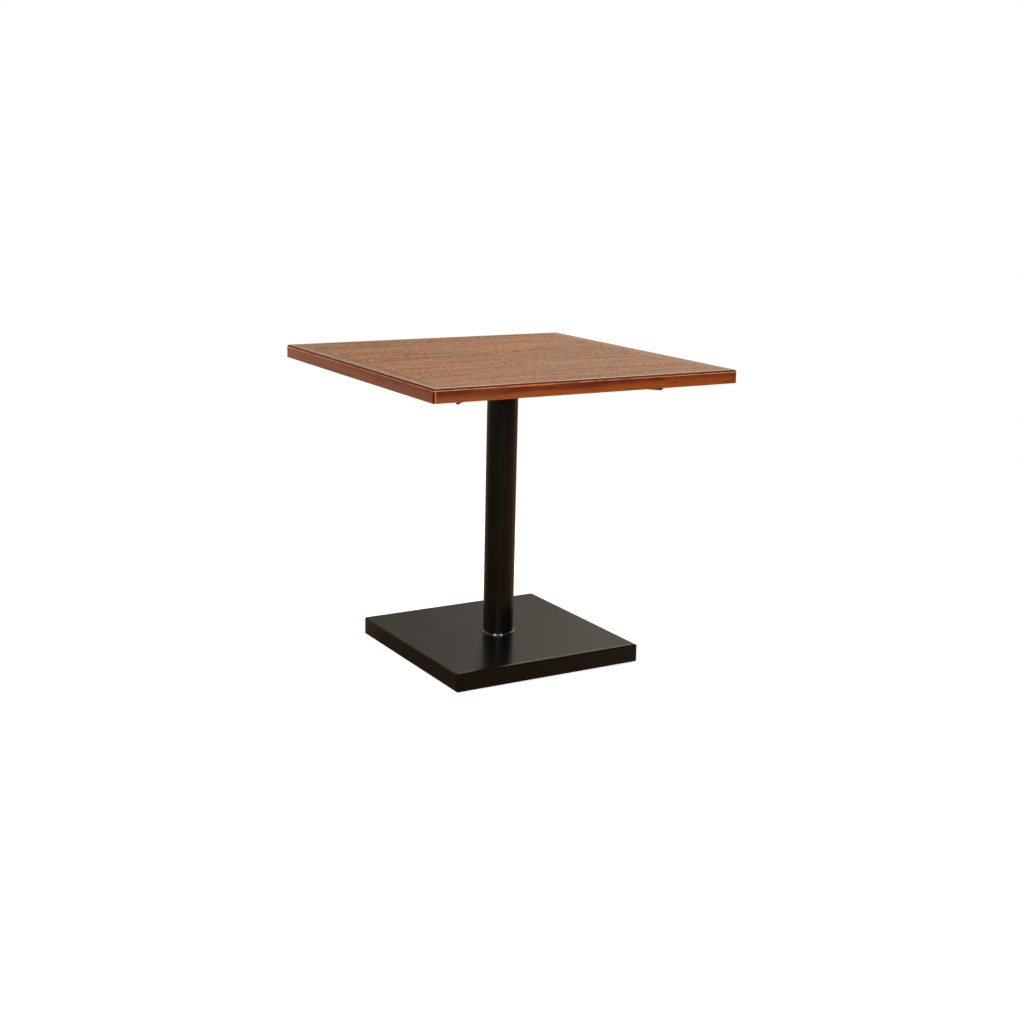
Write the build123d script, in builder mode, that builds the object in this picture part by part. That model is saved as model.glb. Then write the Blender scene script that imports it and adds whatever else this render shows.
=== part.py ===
"""Square bistro table: a framed solid-wood top on a steel pedestal.

Frame: millimetres, +Z up, origin on the floor under the middle of the table. X runs along the boards
of the top, Y runs across them, and the front of the table faces -Y.

How it comes apart: the top lifts off a four-armed spider once its wood screws are out. One long tie
rod clamps the spider, the column, the base cover and the cast weight together. Four swivel feet screw
into the weight.
"""

import math
import os

from build123d import *

# Overall sizes
table_height = 745.0
top_side = 800.0
top_thickness = 32.0
base_side = 506.0
base_cover_height = 43.0
rim_gap = 5.0  # the cover's rim stays this far off the floor
column_diameter = 76.1
column_wall = 2.0

# Wooden top
rail_width = 44.0  # mitred frame round the boards
wide_board = 131.0
wide_board_count = 5  # one narrower board at the front fills what is left
edge_chamfer = 4.0
top_corner_radius = 2.5
underside_chamfer = 1.0
frame_bevel = 1.2  # small bevels that make the line between the frame and the boards
board_bevel = 0.7  # the same between boards
tongue = 8.0  # thickness and reach of each tongue
groove_depth = 8.5
spline_thickness = 4.0
spline_width = 22.0
spline_reach = (520.0, 546.0)  # along the diagonal, from the middle of the table

# Spider under the top: four T-section arms along the diagonals, on a round hub plate
arm_reach = (24.0, 400.0)
arm_depth = 27.0
arm_flange_width = 40.0
arm_steel = 4.0
arm_tip_bevel = 10.0
arm_tip_radius = 8.0
hub_diameter = 140.0
hub_thickness = 6.0
socket_height = 20.0
socket_wall = 3.0
locating_gap = 0.2  # between the column and what centres it

# Wood screws, two pairs on each arm
screw_radii = (130.0, 350.0)
screw_offset = 12.0
screw_diameter = 5.0
screw_head_diameter = 9.5
screw_head_height = 3.0
screw_length = 25.0
screw_point = 5.0
screw_clearance = 0.3

# Tie rod, M12, with its nuts and wide washers
rod_diameter = 12.0
rod_hole = 13.0
rod_end_spare = 5.0
rod_end_chamfer = 1.2
nut_flats = 18.0
nut_height = 10.0
nut_chamfer = 0.8
washer_diameter = 37.0
washer_thickness = 3.0
thread_gap = 0.05  # radial, between a thread and its nut or tapped hole

# Foot of the column
plug_height = 12.0
ring_reach = 6.2  # how far the collar ring stands out from the column
ring_height = 5.0
ring_round = 4.5
ring_gap = 0.2

# Base
cover_steel = 2.0
cover_edge_radius = 4.0
cover_corner_radius = 2.5
weight_side = 430.0
weight_thickness = 18.0
weight_corner_radius = 12.0
weight_edge_chamfer = 1.5
boss_diameter = 30.0
boss_height = 10.0

# Swivel feet, M8
foot_offset = 190.0
pad_diameter = 40.0
pad_height = 8.0
pad_edge_radius = 2.0
pad_floor = 3.0  # thickness left under the stem
stem_diameter = 8.0
stem_length = 38.0
stem_end_chamfer = 1.0
stem_hex_flats = 13.0
collar_diameter = 11.0  # the stem's lower end, held in a pocket of the pad
collar_height = 2.0
swivel_gap = 0.3  # between the stem and the pad, and between the stem's hexagon and the boss

# Levels worked out from the sizes above
half_top = top_side / 2
underside = table_height - top_thickness
tongue_level = table_height - top_thickness / 2
half_field = half_top - rail_width
hub_top = underside - arm_depth
column_top = hub_top - hub_thickness
cover_top = rim_gap + base_cover_height
weight_top = cover_top - cover_steel
weight_bottom = weight_top - weight_thickness
boss_bottom = weight_bottom - boss_height
column_bore = column_diameter / 2 - column_wall
sides = {"front": -90, "right": 0, "back": 90, "left": 180}
corners = {"front_left": (-1, -1), "front_right": (1, -1), "back_right": (1, 1), "back_left": (-1, 1)}


def save(piece, name):
    """Labels a finished piece and writes it as its own STEP file."""
    piece.part.label = name
    export_step(piece.part, f"parts/{name}.step")


def compass(angle):
    """Unit vector in the floor plane, angle in degrees from +X."""
    return Vector(math.cos(math.radians(angle)), math.sin(math.radians(angle)), 0)


def screw_points():
    """Centres of the wood screws, seen from above: a pair either side of each arm's web."""
    for cx, cy in corners.values():
        along = Vector(cx, cy).normalized()
        across = Vector(-along.Y, along.X)
        for radius in screw_radii:
            for side in (-1, 1):
                yield along * radius + across * screw_offset * side


def pilot_holes():
    """Outlines of the wood screws' holes, on the underside of the top."""
    with BuildSketch(Plane.XY.offset(underside)) as holes:
        with Locations(*screw_points()):
            Circle(screw_diameter / 2 + thread_gap)
    return holes.sketch


# ---- wooden top --------------------------------------------------------------------------------


def frame_rail(side, angle):
    """One side of the mitred frame. Its outer face looks along the angle."""
    outward = compass(angle)
    with BuildPart() as rail:
        # section across the rail: local x points outward, local y points up
        with BuildSketch(Plane(origin=(0, 0, 0), x_dir=outward, z_dir=outward.cross(Vector(0, 0, 1)))):
            with BuildLine():
                Polyline(
                    (half_field, underside),
                    (half_top - underside_chamfer, underside),
                    (half_top, underside + underside_chamfer),
                    (half_top, table_height - edge_chamfer),
                    (half_top - edge_chamfer, table_height),
                    (half_field + frame_bevel, table_height),
                    (half_field, table_height - frame_bevel),
                    (half_field, tongue_level + tongue / 2),
                    (half_field + groove_depth, tongue_level + tongue / 2),
                    (half_field + groove_depth, tongue_level - tongue / 2),
                    (half_field, tongue_level - tongue / 2),
                    close=True,
                )
            make_face()
        extrude(amount=half_top, both=True)
        # the mitres lie on the table's two diagonals
        for turn in (-45, 45):
            split(bisect_by=Plane(origin=(0, 0, 0), z_dir=compass(angle + turn)), keep=Keep.TOP)
        # ease the upright corner
        with BuildSketch(Plane.XY.offset(underside)):
            RectangleRounded(top_side, top_side, top_corner_radius)
        extrude(amount=top_thickness, mode=Mode.INTERSECT)
        # slots for the loose splines
        with BuildSketch(Plane.XY.offset(tongue_level - spline_thickness / 2)):
            spline_outlines()
        extrude(amount=spline_thickness, mode=Mode.SUBTRACT)
    save(rail, f"frame_rail_{side}")


def spline_outlines():
    """Four small rectangles, one across each mitre."""
    inner, outer = spline_reach
    with PolarLocations((inner + outer) / 2, 4, start_angle=45):
        Rectangle(outer - inner, spline_width)


def field_board(number, low, high):
    """One board between the rails, from low to high in Y, with its tongues and its groove."""
    at_front = number == 1
    at_back = number == wide_board_count + 1
    front_bevel = frame_bevel if at_front else board_bevel
    back_bevel = frame_bevel if at_back else board_bevel
    with BuildPart() as board:
        with BuildSketch(Plane.YZ):
            with BuildLine():
                Polyline(
                    (low, underside),
                    (high, underside),
                    (high, table_height - back_bevel),
                    (high - back_bevel, table_height),
                    (low + front_bevel, table_height),
                    (low, table_height - front_bevel),
                    close=True,
                )
            make_face()
        extrude(amount=half_field, both=True)
        chamfer(board.edges().group_by(Axis.Z)[-1].filter_by(Axis.Y), length=frame_bevel)
        # tongues at both ends and along the back
        with BuildSketch(Plane.XY.offset(tongue_level - tongue / 2)):
            with Locations((0, (low + high) / 2)):
                Rectangle(2 * (half_field + tongue), high - low)
            with Locations((0, high + tongue / 2)):
                Rectangle(2 * half_field, tongue)
        extrude(amount=tongue)
        # along the front, a tongue into the rail or a groove for the next board
        with BuildSketch(Plane.XY.offset(tongue_level - tongue / 2)):
            if at_front:
                with Locations((0, low - tongue / 2)):
                    Rectangle(2 * half_field, tongue)
            else:
                with Locations((0, low + groove_depth / 2)):
                    Rectangle(top_side, groove_depth)
        extrude(amount=tongue, mode=Mode.ADD if at_front else Mode.SUBTRACT)
        extrude(pilot_holes(), amount=screw_length - arm_steel + 1, mode=Mode.SUBTRACT)
    save(board, f"field_board_{number}")


os.makedirs("parts", exist_ok=True)

for side, angle in sides.items():
    frame_rail(side, angle)

narrow_board = 2 * half_field - wide_board_count * wide_board
low = -half_field
for number in range(1, wide_board_count + 2):
    high = low + (narrow_board if number == 1 else wide_board)
    field_board(number, low, high)
    low = high

with BuildPart() as mitre_splines:
    with BuildSketch(Plane.XY.offset(tongue_level - spline_thickness / 2)):
        spline_outlines()
    extrude(amount=spline_thickness)
save(mitre_splines, "mitre_splines")

# ---- spider ------------------------------------------------------------------------------------


def spider_arm(corner, direction):
    """A T-section arm: its flange lies against the wood and its web hangs below."""
    inner, outer = arm_reach
    along = Vector(*direction, 0).normalized()
    lengthways = Plane(origin=(0, 0, underside), x_dir=along, z_dir=Vector(along.Y, -along.X, 0))
    flat = Plane(origin=(0, 0, underside), x_dir=along, z_dir=(0, 0, 1))
    with BuildPart() as arm:
        with BuildSketch(lengthways):
            with BuildLine():
                Polyline(
                    (inner, -arm_steel),
                    (inner, -arm_depth),
                    (outer - arm_tip_bevel, -arm_depth),
                    (outer, -arm_depth + arm_tip_bevel),
                    (outer, -arm_steel),
                    close=True,
                )
            make_face()
        extrude(amount=arm_steel / 2, both=True)
        with BuildSketch(flat) as flange:
            with Locations(((inner + outer) / 2, 0)):
                Rectangle(outer - inner, arm_flange_width)
            fillet(flange.vertices().sort_by(Axis((0, 0, 0), along))[-2:], radius=arm_tip_radius)
            with Locations(*[(r, s * screw_offset) for r in screw_radii for s in (-1, 1)]):
                Circle(screw_diameter / 2 + screw_clearance, mode=Mode.SUBTRACT)
        extrude(amount=-arm_steel)
    save(arm, f"spider_arm_{corner}")


for corner, direction in corners.items():
    spider_arm(corner, direction)

with BuildPart() as hub_plate:
    with BuildSketch(Plane.XY.offset(column_top)):
        Circle(hub_diameter / 2)
        Circle(rod_hole / 2, mode=Mode.SUBTRACT)
    extrude(amount=hub_thickness)
    chamfer(hub_plate.edges().filter_by(GeomType.CIRCLE).sort_by(SortBy.RADIUS)[-2:], length=0.8)
save(hub_plate, "spider_hub_plate")

with BuildPart() as column_socket:
    with BuildSketch(Plane.XY.offset(column_top)):
        Circle(column_bore - locating_gap)
        Circle(column_bore - locating_gap - socket_wall, mode=Mode.SUBTRACT)
    extrude(amount=-socket_height)
    chamfer(column_socket.edges().group_by(Axis.Z)[0].sort_by(SortBy.RADIUS)[-1], length=1)
save(column_socket, "spider_column_socket")

with BuildPart() as top_screws:
    head_level = underside - arm_steel
    shank = screw_length - screw_point
    with BuildSketch(Plane.XY.offset(head_level)):
        with Locations(*screw_points()):
            Circle(screw_head_diameter / 2)
    extrude(amount=-screw_head_height)
    fillet(top_screws.edges().filter_by(GeomType.CIRCLE).group_by(Axis.Z)[0], radius=1.2)
    with BuildSketch(Plane.XY.offset(head_level)):
        with Locations(*screw_points()):
            Circle(screw_diameter / 2)
    extrude(amount=shank)
    with Locations(*[point + Vector(0, 0, head_level + shank) for point in screw_points()]):
        Cone(screw_diameter / 2, 0.3, screw_point, align=(Align.CENTER, Align.CENTER, Align.MIN))
save(top_screws, "top_screws")

# ---- column and tie rod ------------------------------------------------------------------------

with BuildPart() as column_tube:
    with BuildSketch(Plane.XY.offset(cover_top)):
        Circle(column_diameter / 2)
        Circle(column_bore, mode=Mode.SUBTRACT)
    extrude(amount=column_top - cover_top)
save(column_tube, "column_tube")

with BuildPart() as column_foot_plug:
    with BuildSketch(Plane.XY.offset(cover_top)):
        Circle(column_bore - locating_gap)
        Circle(rod_hole / 2, mode=Mode.SUBTRACT)
    extrude(amount=plug_height)
    chamfer(column_foot_plug.edges().group_by(Axis.Z)[-1].sort_by(SortBy.RADIUS)[-1], length=1.5)
save(column_foot_plug, "column_foot_plug")

with BuildPart() as column_foot_ring:
    with BuildSketch(Plane.XY.offset(cover_top)):
        Circle(column_diameter / 2 + ring_reach)
        Circle(column_diameter / 2 + ring_gap, mode=Mode.SUBTRACT)
    extrude(amount=ring_height)
    fillet(column_foot_ring.edges().group_by(Axis.Z)[-1].sort_by(SortBy.RADIUS)[-1], radius=ring_round)
save(column_foot_ring, "column_foot_ring")

rod_bottom = weight_bottom - washer_thickness - nut_height - rod_end_spare
rod_top = hub_top + washer_thickness + nut_height + rod_end_spare

with BuildPart() as tie_rod:
    with BuildSketch(Plane.XY.offset(rod_bottom)):
        Circle(rod_diameter / 2)
    extrude(amount=rod_top - rod_bottom)
    chamfer(tie_rod.edges().filter_by(GeomType.CIRCLE), length=rod_end_chamfer)
save(tie_rod, "tie_rod")


def tie_rod_washer(end, level):
    """A wide washer whose lower face is at the level."""
    with BuildPart() as washer:
        with BuildSketch(Plane.XY.offset(level)):
            Circle(washer_diameter / 2)
            Circle(rod_hole / 2, mode=Mode.SUBTRACT)
        extrude(amount=washer_thickness)
    save(washer, f"tie_rod_washer_{end}")


def tie_rod_nut(end, level):
    """A hexagon nut whose lower face is at the level, with its corners turned off."""
    corner = nut_flats / math.sqrt(3)
    with BuildPart() as nut:
        with BuildSketch(Plane.XY.offset(level)):
            RegularPolygon(nut_flats / 2, 6, major_radius=False)
            Circle(rod_diameter / 2 + thread_gap, mode=Mode.SUBTRACT)
        extrude(amount=nut_height)
        with BuildSketch(Plane.XZ):
            with BuildLine():
                Polyline(
                    (0, level),
                    (corner - nut_chamfer, level),
                    (corner, level + nut_chamfer),
                    (corner, level + nut_height - nut_chamfer),
                    (corner - nut_chamfer, level + nut_height),
                    (0, level + nut_height),
                    close=True,
                )
            make_face()
        revolve(axis=Axis.Z, mode=Mode.INTERSECT)
    save(nut, f"tie_rod_nut_{end}")


tie_rod_washer("top", hub_top)
tie_rod_nut("top", hub_top + washer_thickness)
tie_rod_washer("bottom", weight_bottom - washer_thickness)
tie_rod_nut("bottom", weight_bottom - washer_thickness - nut_height)

# ---- base --------------------------------------------------------------------------------------

with BuildPart() as base_cover:
    with BuildSketch(Plane.XY.offset(rim_gap)):
        RectangleRounded(base_side, base_side, cover_corner_radius)
    extrude(amount=base_cover_height)
    fillet(base_cover.edges().group_by(Axis.Z)[-1], radius=cover_edge_radius)
    offset(amount=-cover_steel, openings=base_cover.faces().sort_by(Axis.Z)[0])
    with BuildSketch(Plane.XY.offset(weight_top)):
        Circle(rod_hole / 2)
    extrude(amount=cover_steel, mode=Mode.SUBTRACT)
save(base_cover, "base_cover")

with BuildPart() as base_weight:
    with BuildSketch(Plane.XY.offset(weight_bottom)):
        RectangleRounded(weight_side, weight_side, weight_corner_radius)
    extrude(amount=weight_thickness)
    chamfer(base_weight.edges().group_by(Axis.Z)[0] + base_weight.edges().group_by(Axis.Z)[-1], weight_edge_chamfer)
    with BuildSketch(Plane.XY.offset(weight_bottom)):
        with GridLocations(2 * foot_offset, 2 * foot_offset, 2, 2):
            Circle(boss_diameter / 2)
    extrude(amount=-boss_height)
    with BuildSketch(Plane.XY.offset(boss_bottom)):
        with GridLocations(2 * foot_offset, 2 * foot_offset, 2, 2):
            Circle(stem_diameter / 2 + thread_gap)
        Circle(rod_hole / 2)
    extrude(amount=weight_thickness + boss_height, mode=Mode.SUBTRACT)
save(base_weight, "base_weight")

# ---- swivel feet -------------------------------------------------------------------------------


def disc(at, level, height, diameter, mode=Mode.ADD):
    """A short cylinder whose lower face is at the level, centred on the point."""
    with Locations((*at, level)):
        Cylinder(diameter / 2, height, align=(Align.CENTER, Align.CENTER, Align.MIN), mode=mode)


def foot(corner, direction):
    """A pad that stays still on the floor, and a threaded stem that turns in it."""
    at = (foot_offset * direction[0], foot_offset * direction[1])
    with BuildPart() as pad:
        disc(at, 0, pad_height, pad_diameter)
        fillet(pad.edges().group_by(Axis.Z)[-1], radius=pad_edge_radius)
        disc(at, pad_floor, collar_height + swivel_gap, collar_diameter + 2 * swivel_gap, Mode.SUBTRACT)
        disc(at, pad_floor, pad_height, stem_diameter + 2 * swivel_gap, Mode.SUBTRACT)
    save(pad, f"foot_pad_{corner}")

    hex_level = pad_height + swivel_gap
    with BuildPart() as stem:
        disc(at, pad_floor, stem_length, stem_diameter)
        chamfer(stem.edges().group_by(Axis.Z)[-1], length=stem_end_chamfer)
        disc(at, pad_floor, collar_height, collar_diameter)
        with BuildSketch(Plane.XY.offset(hex_level)):
            with Locations(at):
                RegularPolygon(stem_hex_flats / 2, 6, major_radius=False)
        extrude(amount=boss_bottom - swivel_gap - hex_level)
    save(stem, f"foot_stem_{corner}")


for corner, direction in corners.items():
    foot(corner, direction)
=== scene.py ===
"""The looks of the bistro table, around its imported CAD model, with a plain studio and the camera.

Blender 4.5, in metres, in the CAD model's frame: +Z up, origin on the floor under the column, X along
the boards of the top, and the front of the table facing -Y.
"""

import math
import random

import bmesh
import bpy
from mathutils import Matrix, Vector


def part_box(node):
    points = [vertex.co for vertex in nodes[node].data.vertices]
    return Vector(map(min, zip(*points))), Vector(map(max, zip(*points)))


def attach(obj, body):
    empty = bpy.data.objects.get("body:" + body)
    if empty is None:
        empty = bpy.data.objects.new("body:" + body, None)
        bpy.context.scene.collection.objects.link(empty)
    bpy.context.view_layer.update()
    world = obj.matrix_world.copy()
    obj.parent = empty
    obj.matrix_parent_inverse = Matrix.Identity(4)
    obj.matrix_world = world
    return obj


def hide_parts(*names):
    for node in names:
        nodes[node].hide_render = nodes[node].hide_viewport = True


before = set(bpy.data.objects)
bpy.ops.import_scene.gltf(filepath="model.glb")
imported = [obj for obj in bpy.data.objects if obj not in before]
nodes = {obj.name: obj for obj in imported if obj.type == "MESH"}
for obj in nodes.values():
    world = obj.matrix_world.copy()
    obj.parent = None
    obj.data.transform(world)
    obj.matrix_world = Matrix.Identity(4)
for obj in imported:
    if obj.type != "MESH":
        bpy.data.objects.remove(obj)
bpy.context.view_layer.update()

# Camera: where it stands, where it looks, its roll and its lens
CAMERA_PLACE = Vector((-1.8586, -3.1883, 1.2257))
CAMERA_AZIMUTH = math.radians(-30.689)  # from +Y, positive to the left of +Y seen from above
CAMERA_DROP = math.radians(13.243)  # below level
CAMERA_ROLL = math.radians(1.312)
CAMERA_LENS = 53.517  # mm, on a sensor 36 mm wide

# Levels and sizes of the object, from the frame
top_low, top_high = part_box("frame_rail_front")
TABLE_HEIGHT = top_high.z
HALF_TOP = -top_low.y
TOP_UNDERSIDE = top_low.z
EDGE_CHAMFER = 0.004
HALF_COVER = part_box("base_cover")[1].x


# ---- node trees ----------------------------------------------------------------------------------


class Graph:
    """A node tree under construction, with one short method for each kind of node that it uses."""

    def __init__(self, tree):
        self.tree = tree

    def node(self, kind, inputs=(), output=0, **settings):
        """Adds a node. inputs maps a socket's name or number to a value or to another node's output."""
        made = self.tree.nodes.new(kind)
        for name, value in settings.items():
            setattr(made, name, value)
        for socket, value in dict(inputs).items():
            if isinstance(value, bpy.types.NodeSocket):
                self.tree.links.new(value, made.inputs[socket])
            else:
                made.inputs[socket].default_value = value
        return made.outputs[output] if made.outputs else None

    def math(self, operation, *values):
        """The result of one operation on numbers."""
        return self.node("ShaderNodeMath", enumerate(values), operation=operation)

    def noise(self, vector, detail=2.0, roughness=0.5, output=0):
        """A fractal noise about 0.5. Output 1 is three of them, as a colour."""
        inputs = {"Vector": vector, "Scale": 1.0, "Detail": detail, "Roughness": roughness}
        return self.node("ShaderNodeTexNoise", inputs, output)

    def stretch(self, vector, *scale):
        """The vector times a scale for each axis, in noise features per metre."""
        return self.node("ShaderNodeMapping", {"Vector": vector, "Scale": scale})

    def step(self, value, low, high, low_result=0.0, high_result=1.0):
        """A smooth step from low_result to high_result as value goes from low to high."""
        inputs = enumerate((value, low, high, low_result, high_result))
        return self.node("ShaderNodeMapRange", inputs, interpolation_type="SMOOTHSTEP")

    def mix(self, share, first, second, blend="MIX"):
        """Mixes two colours."""
        inputs = {0: share, 6: first, 7: second}
        return self.node("ShaderNodeMix", inputs, 2, data_type="RGBA", blend_type=blend)

    def place(self):
        """The point being shaded, in metres, in the frame of the table at rest."""
        return self.node("ShaderNodeTexCoord", output=3)

    def split(self, vector):
        """The X, Y and Z of a vector."""
        return self.node("ShaderNodeSeparateXYZ", {0: vector}).node.outputs[:3]

    def join(self, *values):
        """The vector of an X, a Y and a Z."""
        return self.node("ShaderNodeCombineXYZ", enumerate(values))

    def length(self, *values):
        """The length of the vector of an X, a Y and a Z."""
        return self.node("ShaderNodeVectorMath", {0: self.join(*values)}, 1, operation="LENGTH")

    def bump(self, height, distance, strength=1.0, normal=None):
        """The surface normal over a relief of height times distance, in metres, on top of another relief."""
        inputs = {"Height": height, "Distance": distance, "Strength": strength}
        if normal:
            inputs["Normal"] = normal
        return self.node("ShaderNodeBump", inputs)


def srgb(red, green, blue):
    """A colour as it is seen, each channel from 0 to 255, turned into the linear colour of a socket."""
    linear = []
    for channel in (red, green, blue):
        share = channel / 255
        linear.append(share / 12.92 if share <= 0.04045 else ((share + 0.055) / 1.055) ** 2.4)
    return (*linear, 1.0)


def new_material(name):
    """An empty material, as (material, graph)."""
    material = bpy.data.materials.new(name)
    material.use_nodes = True
    material.node_tree.nodes.clear()
    return material, Graph(material.node_tree)


def add_shader(graph, **sockets):
    """Adds the surface shader and the output. A socket's name has _ where the shader's has a space."""
    inputs = {name.replace("_", " "): value for name, value in sockets.items()}
    shader = graph.node("ShaderNodeBsdfPrincipled", inputs)
    graph.node("ShaderNodeOutputMaterial", {"Surface": shader})


def paint(node, material):
    """Gives a CAD node a material in place of its own."""
    slots = nodes[node].material_slots
    for slot in slots:
        slot.material = material


# ---- wood ----------------------------------------------------------------------------------------

RING_SPACING = 0.0062  # between two growth rings
KNOTS = ((-0.197, 0.127, 1.0), (0.148, 0.179, 0.8), (0.130, -0.282, 0.8))  # x, y and relative size
KNOT_RADII = (0.013, 0.011)  # of a knot of size 1, along X and Y
KNOT_PUSH = 0.02  # how far a knot of size 1 pushes the rings aside
WANDER = (0.08, 0.05)  # how far the middle of the tree strays, across the grain and up
FIELD_HEART_DEPTH, RAIL_HEART_DEPTH = 0.09, 0.10  # from the top's surface down to the middle of the tree
FIELD_STREAKS, RAIL_STREAKS = 0.020, 0.014  # pitch of the streaks, across the grain
# the grey bands are partly the wood's own tone and partly a painted sheen along the grain
BOARD_COLOURS = ((181, 120, 74), (110, 67, 44), (148, 116, 96))  # light wood, dark wood, grey bands
RAIL_COLOURS = ((174, 121, 82), (106, 74, 56), (150, 128, 114))
SPLINE_COLOURS = ((206, 168, 120), (160, 118, 76), (180, 150, 110))
BOARD_GAINS = (0.98, 0.96, 1.05, 0.96, 1.04, 0.99)  # how light each board is, from the front
RAIL_GAINS = {"front": 0.93, "right": 1.08, "back": 0.93, "left": 0.94}
PORE_COLOUR = srgb(62, 34, 20)
KNOT_COLOUR = srgb(84, 80, 74)
BARE_COLOUR = srgb(176, 132, 92)

# What each part of the figure adds to the darkness of the wood: low and high level of its noise, and the
# darkness at each
STREAK_TONE = (0.38, 0.62, -0.32, 0.66)
MOTTLE_TONE = (0.34, 0.66, -0.75, 0.75)
FIBRE_TONE = (0.32, 0.68, -0.30, 0.30)

# The outer edges of the rails. By grain: what a side face keeps of its colour, and how evenly
SIDE_STAINS = {"X": ((0.82, 0.365, 0.15), 0.0), "Y": ((0.69, 0.375, 0.235), 0.5)}
EVEN_SIDE_COLOUR = srgb(146, 100, 68)
STAIN_RUN_COLOUR = srgb(82, 27, 12)
BEVEL_COLOUR = srgb(76, 14, 3)
# pale colour of the painted highlight along the top's edge
EDGE_HIGHLIGHT_COLOUR = srgb(204, 196, 182)
# pale for the worn lower arris and for the painted highlight on the left upright arrises
WORN_AND_HIGHLIGHT_COLOUR = srgb(216, 138, 84)
# orange of the painted bounce light along the lower edge of the front and the back
LOWER_EDGE_BOUNCE_COLOUR = srgb(220, 98, 30)
ARRIS_ROLL = 0.008  # how far in from the bevel the lacquered top starts to fall
ARRIS_FALL = 0.0007  # how far it falls


def wood_figure(graph, grain, seed, heart, knots, streak_pitch):
    """The figure of one sawn piece, as shares from 0 to 1.

    grain is the axis that the fibres follow, and heart is where the middle of the tree lies: its place
    across the grain, and its height. The rings are cylinders round it, so the figures on the faces, on
    the edges and on the end grain agree.
    """
    x, y, z = graph.split(graph.place())
    along, across = (x, y) if grain == "X" else (y, x)
    local = graph.join(graph.math("ADD", along, seed * 3.7), across, z)

    # the tree's middle wanders along the grain, which draws the long arches on the face
    wander = graph.noise(graph.stretch(local, 1.9, 6.0, 6.0), 3.0, output=1)
    wander_across, wander_up, _ = graph.split(wander)
    off_across = graph.math("SUBTRACT", across, heart[0] + WANDER[0] / 2)
    off_across = graph.math("MULTIPLY_ADD", wander_across, WANDER[0], off_across)
    off_up = graph.math("SUBTRACT", z, heart[1] + WANDER[1] / 2)
    off_up = graph.math("MULTIPLY_ADD", wander_up, WANDER[1], off_up)
    radius = graph.length(off_across, off_up, 0.0)

    # the rings flow round each knot
    knot_share = 0.0
    for knot_x, knot_y, size in knots:
        away_x = graph.math("DIVIDE", graph.math("SUBTRACT", x, knot_x), KNOT_RADII[0] * size)
        away_y = graph.math("DIVIDE", graph.math("SUBTRACT", y, knot_y), KNOT_RADII[1] * size)
        away = graph.length(away_x, away_y, 0.0)
        radius = graph.math("MULTIPLY_ADD", graph.step(away, 4.5, 0.0), KNOT_PUSH * size, radius)
        knot_share = graph.math("MAXIMUM", knot_share, graph.step(away, 1.25, 0.5))

    ragged = graph.noise(graph.stretch(local, 6.0, 90.0, 90.0), 3.0)
    turns = graph.math("MULTIPLY_ADD", ragged, 0.9, graph.math("DIVIDE", radius, RING_SPACING))
    phase = graph.math("FRACT", turns)
    fine, broad = 1 / streak_pitch, 0.55 / streak_pitch
    figure = {"knots": knot_share}
    figure["late"] = graph.math("MULTIPLY", graph.step(phase, 0.2, 0.85), graph.step(phase, 1.0, 0.9))
    figure["streaks"] = graph.noise(graph.stretch(local, 3.2, fine, fine), 5.0, 0.62)
    figure["bands"] = graph.noise(graph.stretch(local, 2.2, broad, broad), 4.0, 0.6)
    figure["fibres"] = graph.noise(graph.stretch(local, 8.0, 330.0, 330.0), 3.0, 0.6)
    figure["mottle"] = graph.noise(graph.stretch(local, 130.0, 75.0, 75.0), 3.0, 0.6)
    figure["pores"] = graph.step(graph.noise(graph.stretch(local, 60.0, 1300.0, 1300.0), 2.0), 0.56, 0.72)
    return figure


def wood(name, grain, seed, heart, colours, knots=(), streak_pitch=FIELD_STREAKS, edges=False):
    """A stained and lacquered piece of wood, bare on its underside. colours are the light wood, the
    dark wood and a greyer tone that crosses both in long bands, partly the wood's own tone and partly a
    painted sheen along the grain."""
    material, graph = new_material(name)
    light, dark, grey = colours
    figure = wood_figure(graph, grain, seed, heart, knots, streak_pitch)
    streaks = graph.step(figure["streaks"], *STREAK_TONE)
    darkness = graph.math("MULTIPLY_ADD", figure["late"], 0.30, streaks)
    height = graph.split(graph.place())[2]
    on_top = graph.step(height, TABLE_HEIGHT - EDGE_CHAMFER, TABLE_HEIGHT - 0.0005, 0.25, 1.0)
    mottle = graph.math("MULTIPLY", graph.step(figure["mottle"], *MOTTLE_TONE), on_top)
    darkness = graph.math("ADD", darkness, mottle)
    darkness = graph.math("ADD", darkness, graph.step(figure["fibres"], *FIBRE_TONE))
    colour = graph.mix(graph.step(darkness, -0.25, 1.05), light, dark)
    # grey bands: partly the wood's tone, partly a painted sheen along the grain
    colour = graph.mix(graph.step(figure["bands"], 0.44, 0.58, 0.0, 0.55), colour, grey)
    colour = graph.mix(graph.math("MULTIPLY", figure["pores"], 0.40), colour, PORE_COLOUR)
    colour = graph.mix(graph.math("MULTIPLY", figure["knots"], 0.85), colour, KNOT_COLOUR)
    sheen = graph.noise(graph.stretch(graph.place(), 9.0, 9.0, 9.0), 3.0)
    roughness = graph.math("MULTIPLY_ADD", figure["pores"], 0.15, graph.step(sheen, 0.3, 0.7, 0.30, 0.38))
    relief = graph.math("MULTIPLY_ADD", figure["late"], 0.25, graph.math("MULTIPLY", figure["pores"], -1.0))
    normal = graph.bump(relief, 0.00012, 0.6)
    if edges:
        colour, roll, soaked = rail_edges(graph, colour, *SIDE_STAINS[grain])
        normal = graph.bump(roll, 1.0, 1.0, normal)
        roughness = graph.math("MULTIPLY_ADD", soaked, 0.5, roughness)
    bare = graph.step(height, TOP_UNDERSIDE + 0.0006, TOP_UNDERSIDE + 0.0001)
    colour = graph.mix(graph.math("MULTIPLY", bare, 0.6), colour, BARE_COLOUR)
    roughness = graph.math("MULTIPLY_ADD", bare, 0.25, roughness)
    add_shader(graph, Base_Color=colour, Roughness=roughness, Normal=normal)
    return material


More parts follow.
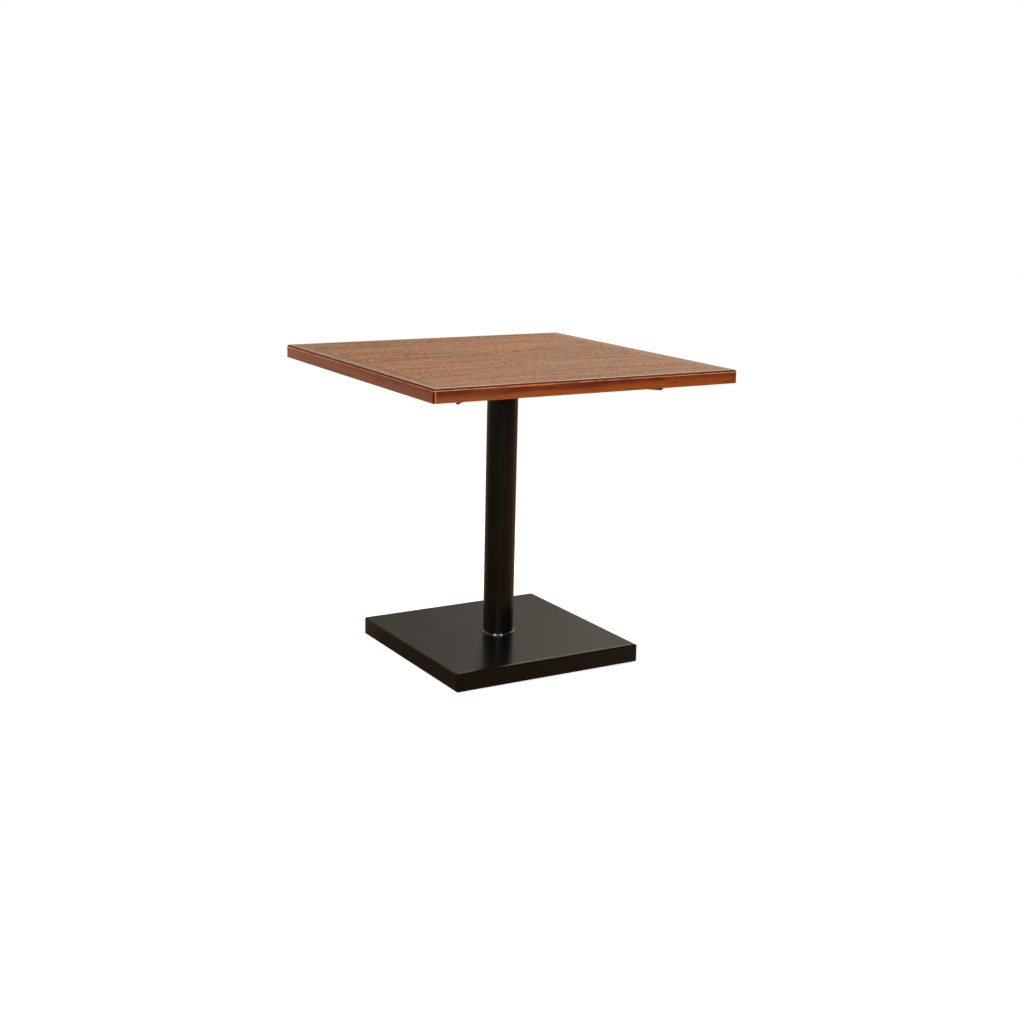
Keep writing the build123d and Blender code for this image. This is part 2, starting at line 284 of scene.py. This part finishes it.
def rail_edges(graph, colour, side_stain, evenness):
    """What the outer edges add to a rail, as (colour, height, soaked): a heavier stain on the side face
    and most of all in the bevel, arrises worn to paler wood, a painted highlight along the top's edge and
    on the left upright arrises, painted bounce light along the lower edge, a top that falls towards the
    bevel, and no gloss where the stain has soaked in."""
    x, y, z = graph.split(graph.place())
    out_x = graph.math("SUBTRACT", HALF_TOP, graph.math("ABSOLUTE", x))
    out_y = graph.math("SUBTRACT", HALF_TOP, graph.math("ABSOLUTE", y))
    inset = graph.math("MINIMUM", out_x, out_y)
    drop = graph.math("SUBTRACT", TABLE_HEIGHT, z)
    rise = graph.math("SUBTRACT", z, TOP_UNDERSIDE)
    ragged = graph.noise(graph.stretch(graph.place(), 28.0, 28.0, 200.0), 4.0, 0.6)
    cloud = graph.noise(graph.stretch(graph.place(), 9.0, 9.0, 60.0), 3.0, 0.6)

    on_side = graph.math("MULTIPLY", graph.step(inset, 0.0020, 0.0), graph.step(rise, 0.0, 0.0006))
    colour = graph.mix(graph.math("MULTIPLY", on_side, evenness), colour, EVEN_SIDE_COLOUR)
    colour = graph.mix(on_side, colour, (*side_stain, 1.0), "MULTIPLY")
    run = graph.math("MULTIPLY", graph.step(drop, 0.023, 0.007), graph.step(cloud, 0.38, 0.58, 0.25, 0.90))
    run = graph.math("MULTIPLY", run, 1.0 - evenness)
    colour = graph.mix(graph.math("MULTIPLY", run, on_side), colour, STAIN_RUN_COLOUR)
    in_bevel = graph.step(graph.math("ADD", inset, drop), EDGE_CHAMFER + 0.0014, EDGE_CHAMFER + 0.0008)
    in_bevel = graph.math("MULTIPLY", in_bevel, graph.step(drop, 0.0001, 0.0006))
    in_corner = graph.step(graph.math("ADD", out_x, out_y), EDGE_CHAMFER + 0.0012, EDGE_CHAMFER + 0.0004)
    stained = graph.math("MAXIMUM", in_bevel, in_corner)
    colour = graph.mix(graph.math("MULTIPLY", stained, 0.9), colour, BEVEL_COLOUR)

    # the top's edge carries a painted highlight, strongest at the front and the left
    edge_highlight = graph.step(inset, EDGE_CHAMFER + 0.010, EDGE_CHAMFER + 0.003)
    edge_highlight = graph.math("MULTIPLY", edge_highlight, graph.step(drop, 0.0006, 0.0001))
    edge_highlight = graph.math("MULTIPLY", edge_highlight, graph.step(cloud, 0.3, 0.5, 0.35, 0.60))
    front_left = graph.step(graph.math("ADD", x, y), 0.12, 0.02, 0.15, 1.0 - evenness)
    colour = graph.mix(graph.math("MULTIPLY", edge_highlight, front_left), colour, EDGE_HIGHLIGHT_COLOUR)

    # the bevel's lower arris is worn pale, the upright arris of the left corners has a painted highlight
    # over its wear, and the lower edge of the front and the back has painted bounce light
    under_bevel = graph.length(inset, graph.math("SUBTRACT", drop, EDGE_CHAMFER + 0.0010), 0.0)
    # a painted highlight, partly wear, on the upright arris, kept to the left corners
    corner_highlight = graph.length(out_y, graph.math("SUBTRACT", out_x, EDGE_CHAMFER + 0.0004), 0.0)
    corner_highlight = graph.step(corner_highlight, 0.0016, 0.0007)
    corner_highlight = graph.math("MULTIPLY", corner_highlight, graph.step(x, 0.1, -0.1, 0.1))
    worn_and_highlight = graph.math("MAXIMUM", graph.step(under_bevel, 0.0013, 0.0006), corner_highlight)
    worn_and_highlight = graph.math("MULTIPLY", worn_and_highlight, graph.step(ragged, 0.36, 0.56, 0.40, 1.0 - 0.4 * evenness))
    colour = graph.mix(worn_and_highlight, colour, WORN_AND_HIGHLIGHT_COLOUR)
    # painted bounce light along the lower edge of the front and the back faces
    lower_edge_bounce = graph.step(ragged, 0.34, 0.52, 0.35, 0.9)
    lower_edge_bounce = graph.math("MULTIPLY", graph.step(rise, 0.0024, 0.0010), lower_edge_bounce)
    lower_edge_bounce = graph.math("MULTIPLY", lower_edge_bounce, 0.6 - 1.2 * evenness)
    colour = graph.mix(graph.math("MULTIPLY", lower_edge_bounce, on_side), colour, LOWER_EDGE_BOUNCE_COLOUR)
    soaked = graph.math("MAXIMUM", stained, graph.step(rise, 0.0014, 0.0008))

    fall = graph.step(inset, EDGE_CHAMFER + ARRIS_ROLL, EDGE_CHAMFER - ARRIS_ROLL)
    return colour, graph.math("MULTIPLY", fall, -ARRIS_FALL), soaked


def tinted(colours, gain):
    """The colours made lighter or darker, as linear colours."""
    return [tuple(channel * gain for channel in srgb(*colour)[:3]) + (1.0,) for colour in colours]


def paint_top():
    """Gives each board and each rail its own piece of wood."""
    for number, gain in enumerate(BOARD_GAINS, 1):
        node = f"field_board_{number}"
        low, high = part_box(node)
        middle = (low.y + high.y) / 2
        heart = (middle + 0.03 * math.sin(number * 2.1), TABLE_HEIGHT - FIELD_HEART_DEPTH)
        knots = [knot for knot in KNOTS if low.y < knot[1] < high.y]
        paint(node, wood(node, "X", number, heart, tinted(BOARD_COLOURS, gain), knots))
    for number, (side, gain) in enumerate(RAIL_GAINS.items(), 11):
        node = f"frame_rail_{side}"
        low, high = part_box(node)
        grain = "X" if side in ("front", "back") else "Y"
        middle = (low.y + high.y) / 2 if grain == "X" else (low.x + high.x) / 2
        heart = (middle + 0.02 * math.sin(number * 1.7), TABLE_HEIGHT - RAIL_HEART_DEPTH)
        colours = tinted(RAIL_COLOURS, gain)
        paint(node, wood(node, grain, number, heart, colours, streak_pitch=RAIL_STREAKS, edges=True))
    paint("mitre_splines", wood("mitre_splines", "X", 20, (0.0, 0.6), tinted(SPLINE_COLOURS, 1.0)))


# ---- metal and plastic ---------------------------------------------------------------------------

BLACK_PAINT = srgb(8, 7, 5)
PAINT_ROUGHNESS = 0.22
# How the cover's top falls to its left and right edges, and to its front and back: width, height, power
COVER_ROLLS = ((0.024, -0.0008, 4.0), (0.028, -0.0026, 4.5))


def powder_coat(name, rolled=False):
    """Baked black paint: a faint orange-peel surface, with small changes in gloss. rolled is for the
    pressed cover, whose flat top falls a little towards its bent edges."""
    material, graph = new_material(name)
    place = graph.place()
    peel = graph.noise(graph.stretch(place, 420.0, 420.0, 420.0), 2.0)
    smudge = graph.noise(graph.stretch(place, 7.0, 7.0, 7.0), 4.0, 0.6)
    paler = tuple(1.5 * channel for channel in BLACK_PAINT[:3]) + (1.0,)
    tint = graph.mix(graph.step(smudge, 0.35, 0.7), BLACK_PAINT, paler)
    gloss = graph.step(smudge, 0.3, 0.7, PAINT_ROUGHNESS * 0.9, PAINT_ROUGHNESS * 1.15)
    normal = graph.bump(peel, 0.00008, 0.35)
    if rolled:
        for reach, (width, height, power) in zip(graph.split(place), COVER_ROLLS):
            past = graph.math("SUBTRACT", graph.math("ABSOLUTE", reach), HALF_COVER - width)
            share = graph.math("MAXIMUM", graph.math("DIVIDE", past, width), 0.0)
            fall = graph.math("MULTIPLY", graph.math("POWER", share, power), height)
            normal = graph.bump(fall, 1.0, 1.0, normal)
    add_shader(graph, Base_Color=tint, Roughness=gloss, Normal=normal)
    return material


def cast_iron(name):
    """Primed sand casting: matt, with a coarse skin."""
    material, graph = new_material(name)
    place = graph.place()
    sand = graph.noise(graph.stretch(place, 260.0, 260.0, 260.0), 5.0, 0.65)
    patch = graph.noise(graph.stretch(place, 12.0, 12.0, 12.0), 4.0, 0.6)
    colour = graph.mix(graph.step(patch, 0.35, 0.7), srgb(46, 45, 43), srgb(62, 58, 54))
    roughness = graph.step(sand, 0.3, 0.7, 0.62, 0.85)
    add_shader(graph, Base_Color=colour, Roughness=roughness, Normal=graph.bump(sand, 0.0004, 0.8))
    return material


def zinc(name):
    """Bright zinc plate, faintly yellow, with drawn lines and dull patches."""
    material, graph = new_material(name)
    place = graph.place()
    lines = graph.noise(graph.stretch(place, 90.0, 90.0, 2600.0), 2.0)
    patch = graph.noise(graph.stretch(place, 120.0, 120.0, 120.0), 3.0)
    colour = graph.mix(graph.step(patch, 0.35, 0.7), srgb(196, 198, 198), srgb(168, 166, 156))
    roughness = graph.step(lines, 0.3, 0.7, 0.26, 0.42)
    normal = graph.bump(lines, 0.00003, 0.4)
    add_shader(graph, Base_Color=colour, Metallic=1.0, Roughness=roughness, Normal=normal)
    return material


def gloss_ring(name):
    """Black chrome over an uneven bead."""
    material, graph = new_material(name)
    place = graph.place()
    ripple = graph.noise(graph.stretch(place, 150.0, 150.0, 150.0), 2.0)
    colour = graph.mix(graph.step(ripple, 0.3, 0.7), srgb(112, 110, 104), srgb(138, 136, 128))
    roughness = graph.step(ripple, 0.3, 0.7, 0.08, 0.16)
    normal = graph.bump(ripple, 0.0003, 0.5)
    add_shader(graph, Base_Color=colour, Metallic=1.0, Roughness=roughness, Normal=normal)
    return material


def moulded_plastic(name):
    """Black nylon with a fine spark-eroded grain."""
    material, graph = new_material(name)
    place = graph.place()
    grain = graph.noise(graph.stretch(place, 1800.0, 1800.0, 1800.0), 2.0)
    scuff = graph.noise(graph.stretch(place, 60.0, 60.0, 60.0), 4.0)
    colour = graph.mix(graph.step(scuff, 0.4, 0.7), srgb(30, 30, 31), srgb(44, 43, 42))
    roughness = graph.step(scuff, 0.3, 0.7, 0.5, 0.66)
    add_shader(graph, Base_Color=colour, Roughness=roughness, Normal=graph.bump(grain, 0.00005, 0.5))
    return material


def finish_metal():
    """Gives the steel, the casting, the fasteners and the pads their materials, and adds the pieces made
    here, which share them."""
    black = powder_coat("black_powder_coat")
    cover = powder_coat("black_powder_coat_cover", rolled=True)
    iron = cast_iron("primed_casting")
    plated = zinc("zinc_plate")
    plastic = moulded_plastic("black_nylon")
    ring = gloss_ring("gloss_black_ring")
    for node in nodes:
        if node.startswith(("spider_", "column_")):
            paint(node, ring if node == "column_foot_ring" else black)
        elif node == "base_cover":
            paint(node, cover)
        elif node.startswith(("tie_rod", "top_screws", "foot_stem")):
            paint(node, plated)
        elif node.startswith("foot_pad"):
            paint(node, plastic)
        elif node == "base_weight":
            paint(node, iron)
    add_small_parts(plated, plastic, black)


# ---- pieces made here ----------------------------------------------------------------------------

THREAD_FORM = ((0.0, 1.0), (0.125, 1.0), (0.4375, 0.0), (0.6875, 0.0))  # share of the pitch, of the depth


def lathe(outline, steps=48, squeeze=None):
    """A solid turned round Z from its outline, a list of (radius, height) that starts and ends on the
    axis. squeeze(point number, angle) may scale a point's radius."""
    shape = bmesh.new()
    rings = []
    for number, (radius, height) in enumerate(outline):
        if radius == 0:
            rings.append([shape.verts.new((0, 0, height))] * steps)
            continue
        ring = []
        for step in range(steps):
            angle = math.tau * step / steps
            reach = radius * (squeeze(number, angle) if squeeze else 1)
            ring.append(shape.verts.new((reach * math.cos(angle), reach * math.sin(angle), height)))
        rings.append(ring)
    for lower, upper in zip(rings, rings[1:]):
        for step in range(steps):
            after = (step + 1) % steps
            corners = (lower[step], lower[after], upper[after], upper[step])
            shape.faces.new(list(dict.fromkeys(corners)))  # a point on the axis counts once
    return shape


def thread(low, high, major, depth, pitch, steps=32):
    """A right-handed threaded rod on the Z axis, from low to high, with both ends chamfered."""
    shape = bmesh.new()
    rows = []
    for step in range((math.ceil((high - low) / pitch) + 2) * steps):
        angle = math.tau * step / steps
        row = []
        for share, crest in THREAD_FORM:
            height = low + pitch * (step / steps + share - 1)
            from_end = max(0.0, min(height - low, high - height))
            radius = min(major / 2 - depth * (1 - crest), major / 2 - depth + from_end)
            row.append(shape.verts.new((radius * math.cos(angle), radius * math.sin(angle), height)))
        rows.append(row)

    def up_to_next_turn(number):
        """A row's points, and the first point of the row that lies one turn above it, if there is one."""
        above = number + steps
        return rows[number] + (rows[above][:1] if above < len(rows) else [])

    for number in range(len(rows) - 1):
        here, ahead = up_to_next_turn(number), up_to_next_turn(number + 1)
        for place in range(min(len(here), len(ahead)) - 1):
            shape.faces.new((here[place], ahead[place], ahead[place + 1], here[place + 1]))
    for level, side in ((low, -1), (high, 1)):
        everything = shape.verts[:] + shape.edges[:] + shape.faces[:]
        bmesh.ops.bisect_plane(
            shape, geom=everything, plane_co=(0, 0, level), plane_no=(0, 0, side), clear_outer=True
        )
        rim = []
        for edge in shape.edges:
            if edge.is_boundary and all(abs(end.co.z - level) < 1e-6 for end in edge.verts):
                rim.append(edge)
        bmesh.ops.holes_fill(shape, edges=rim, sides=0)
    return shape


def prism(points, low, high):
    """An upright prism over a closed outline of (x, y) points."""
    shape = bmesh.new()
    floor = [shape.verts.new((x, y, low)) for x, y in points]
    roof = [shape.verts.new((x, y, high)) for x, y in points]
    shape.faces.new(floor)
    shape.faces.new(roof)
    for number, corner in enumerate(floor):
        after = (number + 1) % len(points)
        shape.faces.new((corner, floor[after], roof[after], roof[number]))
    return shape


def hexagon(flats):
    """The corners of a hexagon, as (x, y), from its width across the flats."""
    reach = flats / math.sqrt(3)
    return [(reach * math.cos(math.tau * n / 6), reach * math.sin(math.tau * n / 6)) for n in range(6)]


def to_mesh(shape, name):
    """Turns a bmesh into a mesh with its faces outward, and frees it."""
    bmesh.ops.recalc_face_normals(shape, faces=shape.faces)
    mesh = bpy.data.meshes.new(name)
    shape.to_mesh(mesh)
    shape.free()
    return mesh


def cut(mesh, tool, operation):
    """The mesh after a boolean with the tool, a bmesh: UNION, DIFFERENCE or INTERSECT."""
    bodies = [bpy.data.objects.new("cut", part) for part in (mesh, to_mesh(tool, "tool"))]
    for body in bodies:
        bpy.context.scene.collection.objects.link(body)
    modifier = bodies[0].modifiers.new("cut", "BOOLEAN")
    modifier.operation = operation
    modifier.solver = "EXACT"
    modifier.object = bodies[1]
    result = bpy.data.meshes.new_from_object(bodies[0].evaluated_get(bpy.context.evaluated_depsgraph_get()))
    for body in bodies:
        bpy.data.meshes.remove(body.data)
    return result


def add_piece(name, meshes, body, material, replaced=()):
    """Joins meshes, given as (mesh, matrix) pairs, into one piece that rides on a body of the frame."""
    shape = bmesh.new()
    for mesh, matrix in meshes:
        placed = mesh.copy()
        placed.transform(matrix)
        shape.from_mesh(placed)
        bpy.data.meshes.remove(placed)
    joined = to_mesh(shape, name)
    joined.shade_smooth()
    joined.set_sharp_from_angle(angle=math.radians(32))
    joined.materials.clear()
    joined.materials.append(material)
    piece = bpy.data.objects.new(name, joined)
    bpy.context.scene.collection.objects.link(piece)
    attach(piece, body)
    if replaced:
        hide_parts(*replaced)


# Sizes of the small parts, as the frame has them
CORNERS = {"front_left": (-1, -1), "front_right": (1, -1), "back_right": (1, 1), "back_left": (-1, 1)}
SCREW_RADII = (0.130, 0.350)  # from the column's axis to the two pairs of screws in a spider arm
SCREW_OFFSET = 0.012  # from the middle of the arm to a screw
SCREW_HEAD = 0.003  # height of a screw's head
WEB_HALF = 0.002  # half of the thickness of an arm's web
WELD_START, WELD_LENGTH = 0.026, 0.041
PAD_RADIUS = 0.020
PAD_FLOOR = 0.003  # under the stem
PAD_HEIGHT = 0.008
STEM_GAP = 0.0003  # between the stem's hexagon and the pad below it or the boss above it


def foot_stem():
    """An M8 stem: a collar that sits in the pad, a hexagon for the spanner, and its thread."""
    low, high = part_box("foot_stem_front_left")
    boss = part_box("base_weight")[0].z
    hex_low, hex_high = PAD_HEIGHT + STEM_GAP, boss - STEM_GAP
    corner, flat = 0.0075, 0.0064
    nut = to_mesh(prism(hexagon(0.013), hex_low, hex_high), "stem")
    turned = [(0, hex_low), (flat, hex_low), (corner, hex_low + 0.0007)]
    turned += [(corner, hex_high - 0.0007), (flat, hex_high), (0, hex_high)]
    nut = cut(nut, lathe(turned), "INTERSECT")
    seat, shoulder, bite = low.z + 0.0001, low.z + 0.002, hex_low + 0.001
    neck = [(0, seat), (0.0055, seat), (0.0055, shoulder), (0.0040, shoulder), (0.0040, bite), (0, bite)]
    stem = cut(nut, lathe(neck), "UNION")
    return cut(stem, thread(hex_high - 0.0005, high.z, 0.008, 0.00067, 0.00125), "UNION")


def foot_pad():
    """A nylon pad with grip notches round its side and rings moulded under it."""
    relief = 0.0008  # how far the sole is hollowed between its rings
    outline = [(0, relief)]
    for ring in (0.0055, 0.0100, 0.0145):
        outline += [(ring - 0.0008, relief), (ring, 0), (ring + 0.0012, 0), (ring + 0.0020, relief)]
    outline += [(PAD_RADIUS - 0.0015, 0), (PAD_RADIUS - 0.0006, 0.0004), (PAD_RADIUS, 0.0012)]
    side = len(outline) - 1
    outline += [(PAD_RADIUS, PAD_HEIGHT - 0.0022), (PAD_RADIUS - 0.0006, PAD_HEIGHT - 0.0007)]
    outline += [(PAD_RADIUS - 0.0020, PAD_HEIGHT)]
    outline += [(0.0043, PAD_HEIGHT), (0.0043, 0.0053), (0.0058, 0.0053), (0.0058, PAD_FLOOR), (0, PAD_FLOOR)]

    def notch(number, angle):
        depth = 0.045 * max(0.0, math.cos(24 * angle)) ** 3
        return 1 - depth if side - 1 <= number <= side + 1 else 1

    return to_mesh(lathe(outline, 192, notch), "pad")


def top_screw():
    """A pan-head wood screw with a cross recess, its head's seat at height 0 and its point upward."""
    head = [(0, -SCREW_HEAD)]
    for step in range(7):
        angle = math.radians(15 * step)
        head.append((0.0023 + 0.00245 * math.sin(angle), -0.0009 - 0.0021 * math.cos(angle)))
    head += [(0.00475, 0), (0, 0)]
    screw = cut(to_mesh(lathe(head), "screw"), thread(-0.0005, 0.0205, 0.005, 0.0011, 0.0022, 24), "UNION")
    point = ((0, 0.0195), (0.0014, 0.0195), (0.0003, 0.025), (0, 0.025))
    screw = cut(screw, lathe(point, 24), "UNION")
    arm, half = 0.0023, 0.0005
    cross = [(arm, -half), (arm, half), (half, half), (half, arm), (-half, arm), (-half, half)]
    cross += [(-x, -y) for x, y in cross]
    return cut(screw, prism(cross, -0.0040, -0.0012), "DIFFERENCE")


def tie_rod():
    """The M12 rod's meshes: a plain shank, and 45 mm of thread at each end, which the shank runs into."""
    low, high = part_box("tie_rod")
    reach, bite = 0.045, 0.002
    start, end = low.z + reach - bite, high.z - reach + bite
    shapes = [lathe([(0, start), (0.0054, start), (0.0054, end), (0, end)])]
    for start, end in ((low.z, low.z + reach), (high.z - reach, high.z)):
        shapes.append(thread(start, end, 0.012, 0.00095, 0.00175))
    return [(to_mesh(shape, "rod"), Matrix()) for shape in shapes]


def weld_bead(length, seed):
    """A bead of fillet weld along X in the corner between a floor, Z = 0, and a wall, Y = 0, with the
    ripples of its run, bulging into the corner's open side."""
    rng = random.Random(seed)
    shape = bmesh.new()
    sides, pitch = 8, 0.0005
    rows = []
    count = round(length / pitch)
    for step in range(count + 1):
        taper = min(1.0, (min(step, count - step) * pitch + 0.0008) / 0.003)
        ripple = 1 + 0.10 * abs(math.sin(math.pi * step * pitch / 0.0018)) + rng.uniform(-0.02, 0.02)
        row = [shape.verts.new((step * pitch, -0.0004, -0.0004))]
        for side in range(sides + 1):
            angle = math.pi / 2 * side / sides
            reach = 0.0027 * taper * ripple * (1 - 0.10 * math.sin(2 * angle))
            row.append(shape.verts.new((step * pitch, reach * math.cos(angle), reach * math.sin(angle))))
        rows.append(row)
    for here, ahead in zip(rows, rows[1:]):
        for side in range(len(here)):
            after = (side + 1) % len(here)
            shape.faces.new((here[side], ahead[side], ahead[after], here[after]))
    shape.faces.new(rows[0])
    shape.faces.new(rows[-1])
    return to_mesh(shape, "bead")


def add_small_parts(plated, plastic, black):
    """Adds the feet, the wood screws, the tie rod and the welds of the spider."""
    stem, pad = foot_stem(), foot_pad()
    for corner in CORNERS:
        low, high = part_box(f"foot_pad_{corner}")
        at = Matrix.Translation(((low.x + high.x) / 2, (low.y + high.y) / 2, 0))
        old_stem, old_pad = f"foot_stem_{corner}", f"foot_pad_{corner}"
        add_piece(f"threaded_stem_{corner}", [(stem, at)], f"stem_{corner}", plated, [old_stem])
        add_piece(f"ribbed_pad_{corner}", [(pad, at)], f"pad_{corner}", plastic, [old_pad])
    add_piece("threaded_tie_rod", tie_rod(), "table", plated, ["tie_rod"])

    screw = top_screw()
    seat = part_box("top_screws")[0].z + SCREW_HEAD
    hub_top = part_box("spider_hub_plate")[1].z
    screws, beads = [], []
    for number, (x, y) in enumerate(CORNERS.values()):
        along = Matrix.Rotation(math.atan2(y, x), 4, "Z")
        for radius in SCREW_RADII:
            for side in (-1, 1):
                place = along @ Matrix.Translation((radius, side * SCREW_OFFSET, seat))
                screws.append((screw, place @ Matrix.Rotation(1.7 * len(screws), 4, "Z")))
        for side in (-1, 1):
            bead = weld_bead(WELD_LENGTH, 2 * number + max(side, 0))
            mirrored = Matrix.Diagonal((1, side, 1, 1))
            start = Matrix.Translation((WELD_START, side * WEB_HALF, hub_top))
            beads.append((bead, along @ start @ mirrored))
    add_piece("cross_head_screws", screws, "table", plated, ["top_screws"])
    add_piece("spider_welds", beads, "table", black)


# ---- studio and camera ---------------------------------------------------------------------------

FLOOR_RADIUS = 4.0
LIGHT_DISTANCE, LIGHT_HEIGHT = 4.2, 2.0  # of the softboxes that stand round the table
SOFTBOX_HEIGHT = 2.2
GLINT_COLOUR = (0.93, 0.98, 1.0)
SEEN_BACKGROUND = (1.0, 1.0, 1.0, 1.0)  # what the camera sees past the floor
AHEAD = (-math.sin(CAMERA_AZIMUTH), math.cos(CAMERA_AZIMUTH))  # the camera's heading, level


def headings(graph, x, y):
    """How far a level direction points away from the camera, and how far to the camera's right."""
    ahead = graph.math("MULTIPLY_ADD", x, AHEAD[0], graph.math("MULTIPLY", y, AHEAD[1]))
    aside = graph.math("MULTIPLY_ADD", x, AHEAD[1], graph.math("MULTIPLY", y, -AHEAD[0]))
    return ahead, aside


def add_floor():
    """A pale floor that fades into the background. Only the camera sees its paleness: to every other ray
    it is a darker, warmer glow, whose strength is laid out by the fixed heading AHEAD."""
    mesh = bpy.data.meshes.new("floor")
    shape = bmesh.new()
    bmesh.ops.create_circle(shape, cap_ends=True, segments=96, radius=FLOOR_RADIUS)
    shape.to_mesh(mesh)
    shape.free()
    floor = bpy.data.objects.new("floor", mesh)
    bpy.context.scene.collection.objects.link(floor)
    material, graph = new_material("pale_floor")
    x, y, _ = graph.split(graph.place())
    distance = graph.length(x, y, 0.0)
    fading = graph.step(distance, 1.2, FLOOR_RADIUS * 0.95)
    diffuse = graph.node("ShaderNodeBsdfDiffuse", {"Color": (0.62, 0.62, 0.61, 1.0)})
    lift = graph.node("ShaderNodeEmission", {"Color": (0.74, 0.74, 0.74, 1.0), "Strength": 1.0})
    pale = graph.node("ShaderNodeAddShader", {0: diffuse, 1: lift})
    clear = graph.node("ShaderNodeBsdfTransparent")
    seen = graph.node("ShaderNodeMixShader", {0: fading, 1: pale, 2: clear})
    ahead, aside = headings(graph, graph.math("DIVIDE", x, distance), graph.math("DIVIDE", y, distance))
    strength = graph.step(aside, -0.9, 0.3, 0.55, 1.0)
    strength = graph.math("ADD", strength, graph.step(aside, 0.7, 1.0, 0.0, 0.6))
    strength = graph.math("ADD", strength, graph.step(ahead, 0.0, 0.6, 0.0, 0.9))
    boarded = graph.node("ShaderNodeEmission", {"Color": (0.20, 0.128, 0.072, 1.0), "Strength": strength})
    is_camera = graph.node("ShaderNodeLightPath", output=0)
    surface = graph.node("ShaderNodeMixShader", {0: is_camera, 1: boarded, 2: seen})
    from_below = graph.node("ShaderNodeNewGeometry", output=6)
    surface = graph.node("ShaderNodeMixShader", {0: from_below, 1: surface, 2: clear})
    graph.node("ShaderNodeOutputMaterial", {"Surface": surface})
    mesh.materials.append(material)


def add_world():
    """A white background for the camera. Everything else sees a room: dim on the camera's side, brighter
    behind the table, and brightest some way up behind it, where its windows are."""
    world = bpy.data.worlds.new("studio")
    world.use_nodes = True
    world.node_tree.nodes.clear()
    graph = Graph(world.node_tree)
    x, y, z = graph.split(graph.node("ShaderNodeTexCoord", output=0))
    ahead, aside = headings(graph, x, y)
    behind = graph.math("MULTIPLY", graph.step(ahead, 0.1, 0.9), graph.step(aside, -0.12, 0.12, 0.50, 1.36))
    windows = graph.math("MULTIPLY", graph.step(z, 0.30, 0.45), graph.step(z, 0.85, 0.60))
    level = graph.math("MULTIPLY_ADD", windows, 0.60, 0.22)
    level = graph.math("MULTIPLY_ADD", behind, level, 0.06)
    level = graph.math("MULTIPLY_ADD", graph.step(aside, -0.5, -0.85), 0.25, level)
    seen = graph.node("ShaderNodeBackground", {"Color": SEEN_BACKGROUND, "Strength": 1.0})
    glow = graph.node("ShaderNodeBackground", {"Color": (1.0, 0.93, 0.80, 1.0), "Strength": level})
    is_camera = graph.node("ShaderNodeLightPath", output=0)
    mixed = graph.node("ShaderNodeMixShader", {0: is_camera, 1: glow, 2: seen})
    graph.node("ShaderNodeOutputWorld", {"Surface": mixed})
    bpy.context.scene.world = world


def add_softbox(name, place, target, size, power, reflected=True, colour=(1.0, 0.96, 0.90)):
    """A rectangular area light at a place, facing a target, that shows in reflections or not."""
    data = bpy.data.lights.new(name, "AREA")
    data.shape = "RECTANGLE"
    data.size, data.size_y = size
    data.energy = power
    data.color = colour
    light = bpy.data.objects.new(name, data)
    light.visible_camera = False
    light.visible_glossy = reflected
    light.location = place
    light.rotation_euler = (Vector(target) - Vector(place)).to_track_quat("-Z", "Y").to_euler()
    bpy.context.scene.collection.objects.link(light)
    return light


def around(azimuth):
    """A softbox's place round the table: azimuth in degrees from the camera's side of it."""
    angle = CAMERA_AZIMUTH + math.radians(azimuth)
    return Vector((math.sin(angle) * LIGHT_DISTANCE, -math.cos(angle) * LIGHT_DISTANCE, LIGHT_HEIGHT))


def add_lights():
    """Broad lights that don't show in reflections, dimmer strips that do, and three for the collar ring
    alone, whose chrome needs something bright to mirror."""
    middle = (0.0, 0.0, 0.55)
    for name, azimuth, width, power, reflected in (
        ("key_left", -23, 0.9, 72, False),
        ("key_right", 23, 0.9, 78, False),
        ("strip_left", -23, 0.7, 24, True),
        ("strip_right", 23, 0.7, 24, True),
        ("strip_middle", 0, 2.7, 20, True),
    ):
        add_softbox(name, around(azimuth), middle, (width, SOFTBOX_HEIGHT), power, reflected)
    add_softbox("overhead", (0.0, 0.4, 3.2), (0.0, 0.0, 0.7), (2.2, 2.2), 62, reflected=False)
    add_softbox("side_left", (-1.0, 1.45, 0.45), (-0.4, 0.35, 0.7), (0.5, 0.5), 25, reflected=False)
    ring = bpy.data.collections.new("ring")
    ring.objects.link(nodes["column_foot_ring"])
    for name, azimuth, width, power in (
        ("left", -24, 0.7, 34),
        ("right", 25, 0.7, 40),
        ("middle", 0, 3.2, 300),
    ):
        size = (width, SOFTBOX_HEIGHT)
        glint = add_softbox(f"glint_{name}", around(azimuth), middle, size, power, colour=GLINT_COLOUR)
        glint.light_linking.receiver_collection = ring


def add_camera():
    """The camera, turned to its azimuth, its drop and its roll."""
    data = bpy.data.cameras.new("camera")
    data.sensor_width = 36.0
    data.lens = CAMERA_LENS
    data.clip_end = 100.0
    camera = bpy.data.objects.new("camera", data)
    bpy.context.scene.collection.objects.link(camera)
    turn = Matrix.Rotation(CAMERA_AZIMUTH, 4, "Z") @ Matrix.Rotation(math.pi / 2 - CAMERA_DROP, 4, "X")
    camera.matrix_world = Matrix.Translation(CAMERA_PLACE) @ turn @ Matrix.Rotation(CAMERA_ROLL, 4, "Z")
    bpy.context.scene.camera = camera


add_camera()
add_world()
add_floor()
add_lights()
bpy.context.scene.view_settings.view_transform = "Standard"
paint_top()
finish_metal()
